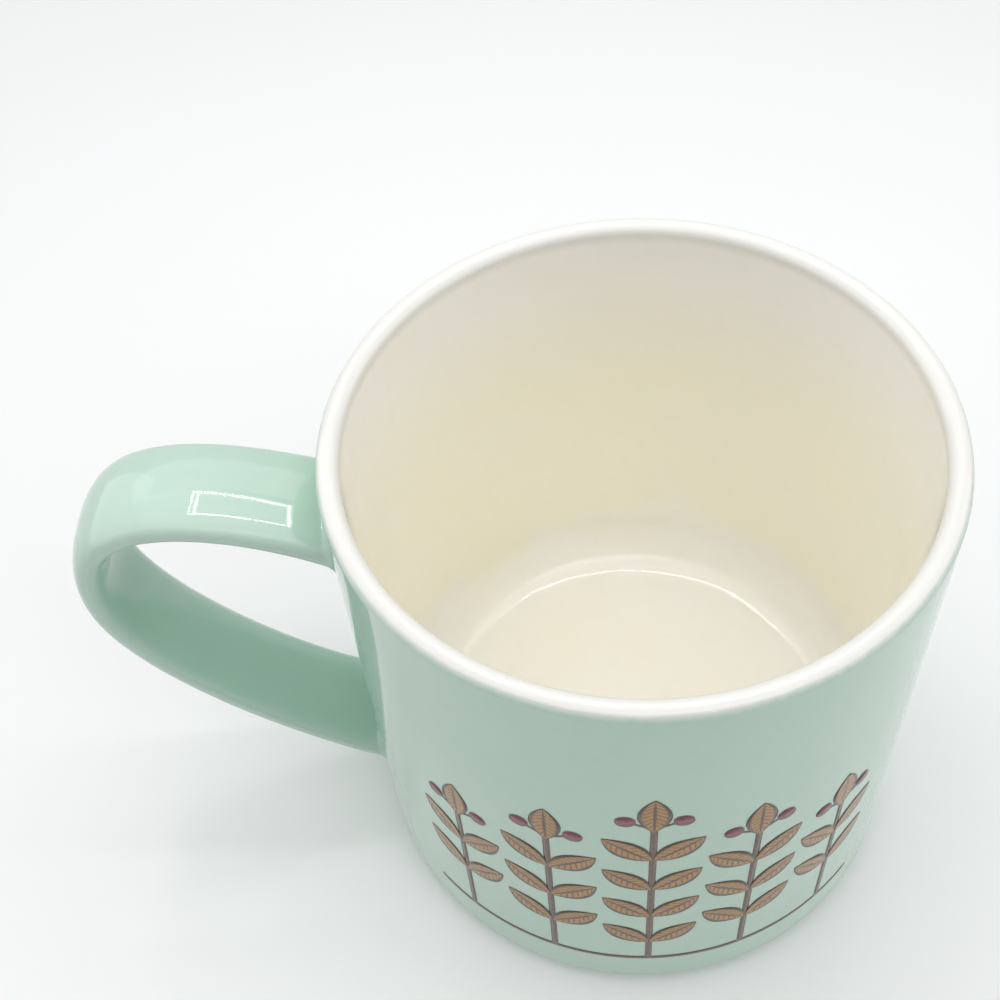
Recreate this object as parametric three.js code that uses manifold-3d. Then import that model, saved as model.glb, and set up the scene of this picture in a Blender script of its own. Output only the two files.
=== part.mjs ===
// A glazed stoneware coffee mug, built as a pottery builds it: a turned clay cup, a cast strap handle stuck
// to it with slip, a cream glaze inside, a mint glaze outside and a print fired on the front.
// Millimetres, +Z up. The mug stands on z = 0, the handle points along -X and the print faces -Y.

import * as THREE from 'three';
import { mergeVertices } from 'three/addons/utils/BufferGeometryUtils.js';
import Module from 'manifold-3d';

const wasm = await Module();
wasm.setup();

// Cup, measured on the glazed surfaces
const rimRadius = 46;
const cupHeight = 93;
const wallThickness = 3.4;
const floorHeight = 6.5;
const floorFilletRadius = 9;
const bottomEdgeRadius = 3.5;

// Foot ring, left bare so that the mug doesn't stick to the kiln shelf
const footInset = 6.5;
const footWidth = 4;
const footHeight = 1.2;
const footBevel = 0.5;
const recessDepth = 2;

// Glaze coats, and the clearance between any two pieces that lie on each other
const glazeThickness = 0.4;
const fitGap = 0.1;
const seamAngle = THREE.MathUtils.degToRad(47);

// Handle strap: its centreline leaves the wall at two joints and turns at a knee
const upperJointDrop = 16.3;
const lowerJointHeight = 16.7;
const handleProjection = 41.8;
const kneeDrop = 27.5;
const upperRise = THREE.MathUtils.degToRad(27.5);
const lowerRise = THREE.MathUtils.degToRad(20.3);
const upperPull = 22.8;
const kneePullUp = 20.8;
const kneePullDown = 20.4;
const lowerPull = 10.8;

// Handle section: crowned outside, flatter inside, wider and thicker towards the joints
const strapThickness = 5.6;
const strapWidth = 17.1;
const strapJointWidth = 18.4;
const strapFlare = 0.3;
const strapFlareReach = 14;
const outerCrown = 2.3;
const innerCrown = 3.2;

// Slip that sticks the strap to the wall and is smoothed to a fillet
const slipThickness = 0.6;
const slipFillet = 1.4;
const slipEdge = 0.35;

// Print: a row of leaf sprigs on a ground line
const printThickness = 0.1;
const printBottom = 12;
const sprigPitch = 15.6;
const sprigHeights = [46, 53, 60, 53, 46];
const groundLine = 1.1;
const stemWidth = 1.1;
const leafLength = 10;
const leafWidth = 4.9;
const leafSpacing = 10.6;
const leafTilt = THREE.MathUtils.degToRad(48);
const berryRadius = 1.5;
const berryReach = 4.6;
const berryTilt = THREE.MathUtils.degToRad(62);

// Fineness of the facets
const turnSegments = 56;
const lipSteps = 7;
const floorFilletSteps = 5;
const bottomEdgeSteps = 4;
const strapSides = 16;
const strapPitch = 5.6;
const searchSteps = 20;
const filletSteps = 4;
const leafSteps = 3;
const berrySides = 8;

// Sizes that follow from the ones above
const innerRadius = rimRadius - wallThickness;
const lipRadius = wallThickness / 2;
const footOuter = rimRadius - footInset;
const footInner = footOuter - footWidth;
const claySkin = glazeThickness + fitGap;
const seamGap = fitGap / lipRadius;
const strapTail = wallThickness;
const strapRoot = wallThickness / 3;
const wallBottom = footHeight + bottomEdgeRadius;
const wallTop = cupHeight - lipRadius;

const point = (radius, height) => new THREE.Vector2(radius, height);

function arc(centre, radius, from, to, steps) {
  const points = [];
  for (let i = 0; i <= steps; i += 1) {
    const angle = THREE.MathUtils.lerp(from, to, i / steps);
    points.push(point(centre.x + radius * Math.cos(angle), centre.y + radius * Math.sin(angle)));
  }
  return points;
}

// Stretches of the cup's profile, at a depth under the glazed surface
function lip(depth, from, to) {
  const steps = Math.ceil((lipSteps * Math.abs(to - from)) / Math.PI);
  return arc(point(rimRadius - lipRadius, wallTop), lipRadius - depth, from, to, steps);
}

function floorFillet(depth) {
  const centre = point(innerRadius - floorFilletRadius, floorHeight + floorFilletRadius);
  return arc(centre, floorFilletRadius + depth, 0, -Math.PI / 2, floorFilletSteps);
}

function bottomEdge(depth) {
  const centre = point(rimRadius - bottomEdgeRadius, wallBottom);
  return arc(centre, bottomEdgeRadius - depth, -Math.PI / 2, 0, bottomEdgeSteps);
}

// A profile of radius and height, turned about the cup's axis
function turn(profile) {
  return new THREE.LatheGeometry(profile, turnSegments).rotateX(Math.PI / 2);
}

// Closed meshes as solids that can be joined and cut, and back again
function toSolid(geometry) {
  geometry.deleteAttribute('normal');
  geometry.deleteAttribute('uv');
  const merged = mergeVertices(geometry);
  const corners = merged.index.array;
  const triangles = [];
  for (let i = 0; i < corners.length; i += 3) {
    const [a, b, c] = corners.subarray(i, i + 3);
    if (a !== b && b !== c && c !== a) triangles.push(a, b, c);
  }
  const vertProperties = merged.attributes.position.array;
  const triVerts = Uint32Array.from(triangles);
  return new wasm.Manifold(new wasm.Mesh({ numProp: 3, vertProperties, triVerts }));
}

function toGeometry(solid) {
  const mesh = solid.getMesh();
  const geometry = new THREE.BufferGeometry();
  geometry.setAttribute('position', new THREE.BufferAttribute(mesh.vertProperties, 3));
  geometry.setIndex(new THREE.BufferAttribute(mesh.triVerts, 1));
  geometry.computeVertexNormals();
  return geometry;
}

// The straight stretch of the wall as a full round, grown by an allowance
function wallRound(allowance) {
  const radius = rimRadius + allowance;
  return toSolid(turn([
    point(0, wallBottom),
    point(radius, wallBottom),
    point(radius, wallTop),
    point(0, wallTop),
  ]));
}

function cupBody() {
  return turn([
    point(0, recessDepth + claySkin),
    point(footInner, recessDepth + claySkin),
    point(footInner, footBevel),
    point(footInner + footBevel, 0),
    point(footOuter - footBevel, 0),
    point(footOuter, footBevel),
    point(footOuter, footHeight + claySkin),
    ...bottomEdge(claySkin),
    ...lip(claySkin, 0, Math.PI),
    ...floorFillet(claySkin),
    point(0, floorHeight - claySkin),
  ]);
}

function linerGlaze() {
  return turn([
    point(0, floorHeight - glazeThickness),
    ...floorFillet(glazeThickness).reverse(),
    ...lip(glazeThickness, Math.PI, seamAngle),
    ...lip(0, seamAngle, Math.PI),
    ...floorFillet(0),
    point(0, floorHeight),
  ]);
}

function baseGlaze() {
  const radius = footInner - fitGap;
  const top = recessDepth + glazeThickness;
  return turn([point(0, recessDepth), point(radius, recessDepth), point(radius, top), point(0, top)]);
}

// Centreline of the strap, from inside the wall at the upper joint to inside it at the lower one
function strapPath() {
  const along = (from, direction, length) => from.clone().addScaledVector(direction, length);
  const upper = new THREE.Vector3(-rimRadius, 0, cupHeight - upperJointDrop);
  const lower = new THREE.Vector3(-rimRadius, 0, lowerJointHeight);
  const kneeRadius = rimRadius + handleProjection - strapThickness / 2;
  const knee = new THREE.Vector3(-kneeRadius, 0, cupHeight - kneeDrop);
  const outOfUpper = new THREE.Vector3(-Math.cos(upperRise), 0, Math.sin(upperRise));
  const outOfLower = new THREE.Vector3(-Math.cos(lowerRise), 0, Math.sin(lowerRise));
  const up = new THREE.Vector3(0, 0, 1);
  const path = new THREE.CurvePath();
  path.add(new THREE.LineCurve3(along(upper, outOfUpper, -strapTail), upper));
  path.add(new THREE.CubicBezierCurve3(
    upper, along(upper, outOfUpper, upperPull), along(knee, up, kneePullUp), knee,
  ));
  path.add(new THREE.CubicBezierCurve3(
    knee, along(knee, up, -kneePullDown), along(lower, outOfLower, lowerPull), lower,
  ));
  path.add(new THREE.LineCurve3(lower, along(lower, outOfLower, -strapTail)));
  return path;
}

const strap = strapPath();
const strapLength = strap.getLength();
const [, kneeStation] = strap.getCurveLengths();

const wallDistance = (place) => Math.hypot(place.x, place.y) - rimRadius;

// One point of the strap's section, in half widths across it and half thicknesses outward
function crownedSection(angle) {
  const power = 2 / (Math.sin(angle) > 0 ? outerCrown : innerCrown);
  const rounded = (value) => Math.sign(value) * Math.abs(value) ** power;
  return { across: rounded(Math.cos(angle)), outward: rounded(Math.sin(angle)) };
}

// How far the cast strap flares out of its plain section, by its distance from the wall
const castFlare = (distance) => strapFlare * THREE.MathUtils.clamp(1 - distance / strapFlareReach, 0, 1) ** 2;

// A point of the strap: a side of its section, at a station along the centreline and a depth under the glaze
function strapPoint(side, station, depth) {
  const share = station / strapLength;
  const centre = strap.getPointAt(share);
  const tangent = strap.getTangentAt(share);
  const across = new THREE.Vector3(0, 1, 0);
  const outward = new THREE.Vector3(tangent.z, 0, -tangent.x);
  const halfWidth = THREE.MathUtils.lerp(strapWidth, strapJointWidth, (2 * share - 1) ** 2) / 2;
  const unit = crownedSection((2 * Math.PI * side) / strapSides);
  const place = (allowance) => centre.clone()
    .addScaledVector(across, unit.across * (halfWidth + allowance))
    .addScaledVector(outward, unit.outward * (strapThickness / 2 + allowance));
  return place(castFlare(wallDistance(place(0))) - depth);
}

// How far slip stands out beside the strap, by the distance from the wall
function filletRise(distance, depth) {
  const radius = slipFillet + depth;
  const inside = THREE.MathUtils.clamp(slipFillet - distance, 0, radius);
  return radius - Math.sqrt(radius ** 2 - inside ** 2);
}

// The same point with slip in the corner: moved along the wall, away from the strap, so that the fillet is
// tangent to both
function slippedPoint(side, station, depth) {
  const place = strapPoint(side, station, depth);
  const radius = Math.hypot(place.x, place.y);
  const radial = new THREE.Vector3(place.x, place.y, 0).normalize();
  const round = strapPoint(side + 1, station, depth).sub(strapPoint(side - 1, station, depth));
  const away = strap.getTangentAt(station / strapLength).cross(round).projectOnPlane(radial).normalize();
  place.addScaledVector(away, filletRise(wallDistance(place), depth));
  const back = radius / Math.hypot(place.x, place.y);
  return place.multiply(new THREE.Vector3(back, back, 1));
}

// The station at which one side of the strap stands a given way off the wall, found by halving
function stationOff(side, clearance, fromEnd) {
  let near = 0;
  let far = strapTail + strapFlareReach;
  for (let i = 0; i < searchSteps; i += 1) {
    const middle = (near + far) / 2;
    if (wallDistance(strapPoint(side, fromEnd(middle), 0)) < clearance) near = middle;
    else far = middle;
  }
  return fromEnd(near);
}

// Even steps between two places, without the places themselves; the spans are those of the strap's centreline
function between(from, to, run) {
  const spans = Math.ceil(run / strapPitch);
  return Array.from({ length: spans - 1 }, (unused, i) => THREE.MathUtils.lerp(from, to, (i + 1) / spans));
}

// Stations along one side of the strap: by distance from the wall in the fillets, even in between, and one
// at the knee
function sideStations(side) {
  const clearances = [-strapRoot];
  for (let i = 0; i <= filletSteps; i += 1) {
    clearances.push(slipFillet * (1 - Math.cos((Math.PI / 2) * (i / filletSteps))));
  }
  const stationsFrom = (fromEnd) => clearances.map((clearance) => stationOff(side, clearance, fromEnd));
  const upper = stationsFrom((run) => run);
  const lower = stationsFrom((run) => strapLength - run).reverse();
  const downToKnee = between(upper[upper.length - 1], kneeStation, kneeStation);
  const onFromKnee = between(kneeStation, lower[0], strapLength - kneeStation);
  return [...upper, ...downToKnee, kneeStation, ...onFromKnee, ...lower];
}

const strapStations = Array.from({ length: strapSides }, (unused, side) => sideStations(side));

// The strap as a loft along its centreline, through the points that a function gives for each side and station
function loftStrap(pointAt) {
  const sides = strapStations.map((stations, side) => stations.map((station) => pointAt(side, station)));
  const ringCount = strapStations[0].length;
  const corner = (ring, side) => ring * strapSides + (side % strapSides);
  const corners = [];
  for (let ring = 0; ring < ringCount; ring += 1) {
    corners.push(...sides.map((points) => points[ring]));
  }
  const middleOf = (ring) => sides
    .reduce((sum, points) => sum.add(points[ring]), new THREE.Vector3())
    .divideScalar(strapSides);
  const firstMiddle = corners.push(middleOf(0)) - 1;
  const lastMiddle = corners.push(middleOf(ringCount - 1)) - 1;
  const triangles = [];
  for (let side = 0; side < strapSides; side += 1) {
    triangles.push(firstMiddle, corner(0, side), corner(0, side + 1));
    triangles.push(lastMiddle, corner(ringCount - 1, side + 1), corner(ringCount - 1, side));
    for (let ring = 0; ring + 1 < ringCount; ring += 1) {
      const [a, b] = [corner(ring, side), corner(ring, side + 1)];
      const [c, d] = [corner(ring + 1, side), corner(ring + 1, side + 1)];
      triangles.push(a, c, b, c, d, b);
    }
  }
  const geometry = new THREE.BufferGeometry().setFromPoints(corners);
  geometry.setIndex(triangles);
  return toSolid(geometry);
}

const plainStrap = (depth) => loftStrap((side, station) => strapPoint(side, station, depth));
const slippedStrap = (depth) => loftStrap((side, station) => slippedPoint(side, station, depth));

// The clay strap ends a bed of slip away from the wall
const slipBed = slipThickness - glazeThickness;

function handleStrap() {
  return plainStrap(claySkin).subtract(wallRound(slipBed + fitGap));
}

// Slip stands in a collar round the strap's end, up to where its fillet thins out
const slipReach = slipFillet - Math.sqrt(slipFillet ** 2 - (slipFillet - slipEdge) ** 2);

function slipCollars(allowance) {
  return slippedStrap(claySkin - allowance).intersect(wallRound(slipReach + allowance));
}

function slipJoints() {
  const strapClearance = plainStrap(glazeThickness).subtract(wallRound(slipBed));
  const collars = slipCollars(0).subtract(wallRound(-glazeThickness)).subtract(strapClearance);
  const [upper, lower] = collars.decompose().sort((a, b) => b.boundingBox().max[2] - a.boundingBox().max[2]);
  return { upper, lower };
}

// One coat over the wall, the joints and the strap; it pools in the fillets and leaves clay on clay at the
// joints
function outerGlaze() {
  const underside = footOuter + fitGap;
  const cupCoat = toSolid(turn([
    point(underside, footHeight),
    ...bottomEdge(0),
    ...lip(0, 0, seamAngle - seamGap),
    ...lip(glazeThickness, seamAngle - seamGap, 0),
    ...bottomEdge(glazeThickness).reverse(),
    point(underside, footHeight + glazeThickness),
    point(underside, footHeight),
  ]));
  const strapCoat = slippedStrap(0).subtract(wallRound(-glazeThickness / 2));
  return cupCoat.add(strapCoat).subtract(plainStrap(glazeThickness)).subtract(slipCollars(fitGap));
}

// The print is drawn flat, with u along the wall's girth and v up it, and laid on the wall
const wrapped = (u, v) => new THREE.Vector2(rimRadius * Math.sin(u / rimRadius), printBottom + v);

function stencil(outline) {
  const shape = new THREE.Shape(outline.map(({ x, y }) => wrapped(x, y)));
  const geometry = new THREE.ExtrudeGeometry(shape, { depth: 2 * rimRadius, bevelEnabled: false, steps: 1 });
  return toSolid(geometry.rotateX(Math.PI / 2));
}

function bar(from, to, width) {
  const side = to.clone().sub(from).rotateAround(new THREE.Vector2(), Math.PI / 2).setLength(width / 2);
  const corners = [[from, -1], [to, -1], [to, 1], [from, 1]];
  return corners.map(([end, sign]) => end.clone().addScaledVector(side, sign));
}

// A pointed leaf that grows from its base, leaning from upright by its tilt
function leaf(base, tilt) {
  const outline = new THREE.Shape();
  outline.moveTo(0, 0);
  outline.quadraticCurveTo(leafWidth, leafLength / 2, 0, leafLength);
  outline.quadraticCurveTo(-leafWidth, leafLength / 2, 0, 0);
  const turned = outline.getPoints(leafSteps).slice(0, -1);
  return turned.map((corner) => corner.rotateAround(new THREE.Vector2(), -tilt).add(base));
}

function berry(base, tilt) {
  const stalkEnd = base.clone().add(new THREE.Vector2(0, berryReach).rotateAround(new THREE.Vector2(), -tilt));
  const round = arc(stalkEnd, berryRadius, 0, 2 * Math.PI, berrySides).slice(0, -1);
  return [bar(base, stalkEnd, stemWidth / 2), round];
}

function sprig(middle, height) {
  const foot = new THREE.Vector2(middle, groundLine / 2);
  const tip = new THREE.Vector2(middle, height - leafLength);
  const outlines = [bar(foot, tip, stemWidth), leaf(tip.clone().setY(tip.y - stemWidth), 0)];
  for (let rise = tip.y - leafSpacing; rise > groundLine + leafSpacing / 2; rise -= leafSpacing) {
    const base = new THREE.Vector2(middle, rise);
    outlines.push(leaf(base, leafTilt), leaf(base, -leafTilt));
  }
  outlines.push(...berry(tip.clone(), berryTilt), ...berry(tip.clone(), -berryTilt));
  return outlines;
}

function printTransfer() {
  const middles = sprigHeights.map((height, i) => (i - (sprigHeights.length - 1) / 2) * sprigPitch);
  const halfSpan = (sprigHeights.length * sprigPitch) / 2;
  const ground = bar(
    new THREE.Vector2(-halfSpan, groundLine / 2), new THREE.Vector2(halfSpan, groundLine / 2), groundLine,
  );
  const outlines = [ground, ...sprigHeights.flatMap((height, i) => sprig(middles[i], height))];
  const drawn = outlines.map(stencil).reduce((all, next) => all.add(next));
  const film = wallRound(fitGap + printThickness).subtract(wallRound(fitGap));
  return drawn.intersect(film);
}

// Finishes
const fired = { color: 0xe3d9c8, roughness: 0.8, metalness: 0 };
const cream = { color: 0xf2ecdc, roughness: 0.12, metalness: 0 };
const mint = { color: 0xb9dccb, roughness: 0.12, metalness: 0 };
const enamel = { color: 0x6b4a35, roughness: 0.25, metalness: 0 };

const mug = new THREE.Group();
mug.position.x = handleProjection / 2;

function addPiece(name, geometry, finish) {
  const piece = new THREE.Mesh(geometry, new THREE.MeshStandardMaterial(finish));
  piece.name = name;
  mug.add(piece);
}

const joints = slipJoints();
addPiece('cup_body', cupBody(), fired);
addPiece('handle', toGeometry(handleStrap()), fired);
addPiece('upper_slip_joint', toGeometry(joints.upper), fired);
addPiece('lower_slip_joint', toGeometry(joints.lower), fired);
addPiece('liner_glaze', linerGlaze(), cream);
addPiece('outer_glaze', toGeometry(outerGlaze()), mint);
addPiece('base_glaze', baseGlaze(), mint);
addPiece('print', toGeometry(printTransfer()), enamel);

export default mug;
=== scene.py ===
import logging
import math
from bisect import bisect_right
from dataclasses import dataclass, field
from enum import Enum
from typing import Any, Mapping, Optional, Sequence, Union

import bmesh
import bpy
from mathutils import Matrix, Vector, noise
from mathutils.geometry import interpolate_bezier


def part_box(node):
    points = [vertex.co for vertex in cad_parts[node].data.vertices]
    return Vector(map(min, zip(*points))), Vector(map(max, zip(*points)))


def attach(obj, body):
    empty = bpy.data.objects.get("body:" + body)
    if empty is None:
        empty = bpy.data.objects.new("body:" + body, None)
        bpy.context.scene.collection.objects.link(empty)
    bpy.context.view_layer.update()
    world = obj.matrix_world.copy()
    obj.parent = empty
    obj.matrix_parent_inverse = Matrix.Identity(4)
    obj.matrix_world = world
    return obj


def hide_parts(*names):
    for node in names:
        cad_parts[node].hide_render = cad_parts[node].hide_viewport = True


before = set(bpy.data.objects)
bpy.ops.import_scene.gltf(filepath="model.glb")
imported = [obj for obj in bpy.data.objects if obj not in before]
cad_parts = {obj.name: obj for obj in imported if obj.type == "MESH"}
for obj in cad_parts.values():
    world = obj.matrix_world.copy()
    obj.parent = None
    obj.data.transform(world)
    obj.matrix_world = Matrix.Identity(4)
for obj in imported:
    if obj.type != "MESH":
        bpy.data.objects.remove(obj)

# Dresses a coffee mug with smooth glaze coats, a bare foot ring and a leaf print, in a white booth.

logging.basicConfig(level=logging.INFO, format="%(name)s: %(message)s")
log = logging.getLogger("mug")

# The millimetre in metres, a full turn in radians, a right angle in degrees
MM = 0.001
FULL_TURN = 2.0 * math.pi
RIGHT_ANGLE = 90.0

MERGE_DISTANCE = 1e-4
SMOOTH_DETAIL = 1.0
FINE_DETAIL = 3.0
GLASS_IOR = 1.5

Colour = tuple[float, float, float]
Window = tuple[float, float]
Value = Union["Shade", float, Sequence[float]]


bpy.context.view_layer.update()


# Shader maths


class Shade:
    """A node's output that takes part in Python expressions."""

    def __init__(self, bench: "Bench", socket: Optional[bpy.types.NodeSocket]) -> None:
        """Keeps the socket and the bench that adds further nodes."""
        self.bench = bench
        self.socket = socket

    def _math(self, operation: str, first: Value, second: Value = 0.0) -> "Shade":
        """Adds one Math node."""
        return self.bench.add("ShaderNodeMath", {"operation": operation}, {0: first, 1: second})

    def __add__(self, other: Value) -> "Shade":
        """Adds a value."""
        return self._math("ADD", self, other)

    __radd__ = __add__

    def __sub__(self, other: Value) -> "Shade":
        """Takes a value away."""
        return self._math("SUBTRACT", self, other)

    def __rsub__(self, other: Value) -> "Shade":
        """Is taken away from a value."""
        return self._math("SUBTRACT", other, self)

    def __mul__(self, other: Value) -> "Shade":
        """Multiplies by a value."""
        return self._math("MULTIPLY", self, other)

    __rmul__ = __mul__

    def __abs__(self) -> "Shade":
        """Drops the sign."""
        return self._math("ABSOLUTE", self)

    def max(self, other: Value) -> "Shade":
        """Takes the larger of two values."""
        return self._math("MAXIMUM", self, other)

    def ramp(self, low: float, high: float) -> "Shade":
        """Rises smoothly from 0 at low to 1 at high.

        Args:
            low: Value at which the ramp starts; above high it falls instead.
            high: Value at which the ramp ends.

        Returns:
            The ramp as a value between 0 and 1.
        """
        falls = low > high
        bounds = {"From Min": min(low, high), "From Max": max(low, high)}
        settings = {"interpolation_type": "SMOOTHSTEP"}
        rise = self.bench.add("ShaderNodeMapRange", settings, {"Value": self, **bounds})
        return 1.0 - rise if falls else rise


class Bench:
    """A node tree that nodes are added to by type, settings and inputs."""

    def __init__(self, tree: bpy.types.NodeTree) -> None:
        """Clears the tree."""
        self.tree = tree
        tree.nodes.clear()

    def add(
        self,
        kind: str,
        settings: Optional[Mapping[str, Any]] = None,
        inputs: Optional[Mapping[Union[int, str], Value]] = None,
        output: Union[int, str] = 0,
    ) -> Shade:
        """Adds one node.

        Args:
            kind: The node's type.
            settings: Its properties, set before its inputs.
            inputs: Values or links of its sockets, by name or number.
            output: The output that is handed back.

        Returns:
            That output as a shade.
        """
        node = self.tree.nodes.new(kind)
        for name, value in (settings or {}).items():
            setattr(node, name, value)
        for key, value in (inputs or {}).items():
            if isinstance(value, Shade):
                self.tree.links.new(value.socket, node.inputs[key])
            else:
                node.inputs[key].default_value = value
        return Shade(self, node.outputs[output] if node.outputs else None)

    def millimetres(self) -> Shade:
        """Returns the place on the object, in millimetres."""
        place = self.add("ShaderNodeTexCoord", output="Object")
        return self.add("ShaderNodeMapping", inputs={"Vector": place, "Scale": (1 / MM,) * 3})

    def axis(self, vector: Shade, name: str) -> Shade:
        """Returns one component of a vector."""
        return self.add("ShaderNodeSeparateXYZ", inputs={0: vector}, output=name)

    def noise(self, place: Shade, grain: float, detail: float = 2.0) -> Shade:
        """Returns a noise whose blotches are about one grain wide."""
        values = {"Vector": place, "Scale": 1.0 / grain, "Detail": detail}
        return self.add("ShaderNodeTexNoise", {"noise_dimensions": "3D"}, values, "Fac")

    def mix(self, amount: Value, first: Value, second: Value) -> Shade:
        """Mixes two colours."""
        rgba = [(*c, 1.0) if not isinstance(c, Shade) else c for c in (first, second)]
        return self.add("ShaderNodeMix", {"data_type": "RGBA"}, {0: amount, 6: rgba[0], 7: rgba[1]}, 2)

    def bump(self, height: Shade, strength: float, depth: float, normal: Optional[Shade] = None) -> Shade:
        """Returns a normal that follows a height, whose depth is in millimetres."""
        links: dict[Union[int, str], Value] = {"Height": height, "Strength": strength}
        links["Distance"] = depth * MM
        if normal is not None:
            links["Normal"] = normal
        return self.add("ShaderNodeBump", inputs=links)

    def principled(self, **inputs: Value) -> Shade:
        """Adds the surface shader; names use underscores for spaces."""
        named = {key.replace("_", " "): value for key, value in inputs.items()}
        return self.add("ShaderNodeBsdfPrincipled", inputs=named)

    def seen(self) -> Shade:
        """Returns 1 for the rays that show the room, which are camera, glossy and transmission rays."""
        names = [f"Is {kind} Ray" for kind in ("Camera", "Glossy", "Transmission")]
        camera, glossy, transmission = (self.add("ShaderNodeLightPath", output=name) for name in names)
        return camera.max(glossy).max(transmission)

    def surface(self, shader: Shade) -> None:
        """Links the finished shader to the material's output."""
        self.add("ShaderNodeOutputMaterial", inputs={"Surface": shader})


@dataclass(frozen=True)
class Finish:
    """One fired finish of the mug."""

    name: str

    def paint(self, bench: Bench) -> None:
        """Adds the finish's nodes; each finish has its own."""
        raise NotImplementedError

    def material(self) -> bpy.types.Material:
        """Returns the finish as a material, made once."""
        made = bpy.data.materials.get(self.name)
        if made is None:
            made = bpy.data.materials.new(self.name)
            made.use_nodes = True
            self.paint(Bench(made.node_tree))
        return made


@dataclass(frozen=True)
class Glaze(Finish):
    """Fired glass: glossy, rippled and finely pitted, with grains and depths in millimetres."""

    ripple_grain: float = 8.0
    ripple: float = 0.30
    ripple_depth: float = 0.05
    peel_grain: float = 0.8
    peel: float = 0.08
    peel_depth: float = 0.01
    roughness: float = 0.035
    roughness_spread: float = 0.03

    def coat(self, bench: Bench, place: Shade, base: Shade, mottle: Shade) -> None:
        """Adds the glossy surface.

        Args:
            bench: The material's bench.
            place: The place on the object, in millimetres.
            base: The glaze's colour.
            mottle: The blotches that dull it a little.
        """
        waves = bench.noise(place, self.ripple_grain, SMOOTH_DETAIL)
        pits = bench.noise(place, self.peel_grain, SMOOTH_DETAIL)
        rippled = bench.bump(waves, self.ripple, self.ripple_depth)
        pitted = bench.bump(pits, self.peel, self.peel_depth, rippled)
        gloss = mottle * self.roughness_spread + self.roughness
        bench.surface(bench.principled(Base_Color=base, Roughness=gloss, Normal=pitted, IOR=GLASS_IOR))


@dataclass(frozen=True)
class MintGlaze(Glaze):
    """Opaque green glaze: paler where it is thin, deeper where it pools at the joints, grey where it meets
    the cream, with painted shade on the strap's inner face and towards the bottom edge.
    """

    body: Colour = (0.470, 0.642, 0.538)
    pale: Colour = (0.539, 0.692, 0.604)
    deep: Colour = (0.335, 0.526, 0.426)
    fringe: Colour = (0.700, 0.735, 0.680)
    cloud_grain: float = 26.0
    cloud_window: Window = (0.30, 0.75)
    cloud_share: float = 0.30
    mottle_grain: float = 3.2
    mottle_window: Window = (0.45, 0.80)
    mottle_share: float = 0.10
    thin_share: float = 0.25
    thin_mottle: float = 0.30
    # Painted shade towards the bottom edge: heights in millimetres, and its share.
    foot_shade_window: Window = (5.5, 1.6)
    foot_shade_share: float = 0.55
    pool_and_shade_share: float = 0.75
    fringe_window: Window = (91.44, 92.64)
    fringe_share: float = 0.85
    fringe_grain: float = 1.9
    fringe_wander: float = 0.9
    ripple_grain: float = 9.0
    ripple: float = 0.35
    peel_grain: float = 0.9
    peel: float = 0.10

    def paint(self, bench: Bench) -> None:
        """Adds the glaze's nodes."""
        place = bench.millimetres()
        height = bench.axis(place, "Z")
        cloud = bench.noise(place, self.cloud_grain)
        mottle = bench.noise(place, self.mottle_grain, FINE_DETAIL)
        pool_and_shade = bench.add("ShaderNodeAttribute", {"attribute_name": OuterCoat.POOL_AND_SHADE}, output="Fac")
        thin = bench.add("ShaderNodeAttribute", {"attribute_name": OuterCoat.THIN}, output="Fac")
        base = bench.mix(cloud.ramp(*self.cloud_window) * self.cloud_share, self.body, self.pale)
        base = bench.mix(mottle.ramp(*self.mottle_window) * self.mottle_share, base, self.deep)
        base = bench.mix(thin * (self.thin_share + mottle * self.thin_mottle), base, self.pale)
        # Painted shade darkens the mint towards the bottom edge and on the strap's inner face; glaze pooled
        # at the joints deepens it too.
        foot = height.ramp(*self.foot_shade_window) * self.foot_shade_share
        base = bench.mix(pool_and_shade.max(foot) * self.pool_and_shade_share, base, self.deep)
        wander = (bench.noise(place, self.fringe_grain) - 0.5) * self.fringe_wander
        fringe = (height + wander).ramp(*self.fringe_window)
        base = bench.mix(fringe * self.fringe_share, base, self.fringe)
        self.coat(bench, place, base, mottle)


@dataclass(frozen=True)
class CreamGlaze(Glaze):
    """Ivory glaze of the inside, with painted warm bounce light part way up the inside wall, and whiter over
    the lip.
    """

    body: Colour = (0.976, 0.956, 0.920)
    warm: Colour = (0.973, 0.938, 0.755)
    lip: Colour = (0.805, 0.800, 0.765)
    cloud_grain: float = 22.0
    cloud_window: Window = (0.35, 0.80)
    cloud_share: float = 0.25
    mottle_grain: float = 2.6
    mottle_window: Window = (0.50, 0.85)
    mottle_share: float = 0.12
    # Painted warm bounce light: a band part way up the inside wall, heights in millimetres.
    bounce_from: Window = (12.0, 24.0)
    bounce_to: Window = (88.0, 60.0)
    bounce_wander: float = 24.0
    bounce_share: float = 0.60
    lip_window: Window = (89.4, 91.8)
    lip_wander: float = 0.8

    def paint(self, bench: Bench) -> None:
        """Adds the glaze's nodes."""
        place = bench.millimetres()
        height = bench.axis(place, "Z")
        cloud = bench.noise(place, self.cloud_grain)
        mottle = bench.noise(place, self.mottle_grain, FINE_DETAIL)
        # Painted warm bounce light on the inside wall, added to random warm clouds.
        rise = height + (cloud - 0.5) * self.bounce_wander
        warm_bounce = rise.ramp(*self.bounce_from) * rise.ramp(*self.bounce_to)
        warmth = cloud.ramp(*self.cloud_window) * self.cloud_share + warm_bounce * self.bounce_share
        base = bench.mix(warmth, self.body, self.warm)
        base = bench.mix(mottle.ramp(*self.mottle_window) * self.mottle_share, base, self.lip)
        over_lip = (height + (mottle - 0.5) * self.lip_wander).ramp(*self.lip_window)
        base = bench.mix(over_lip, base, self.lip)
        self.coat(bench, place, base, mottle)


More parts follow.
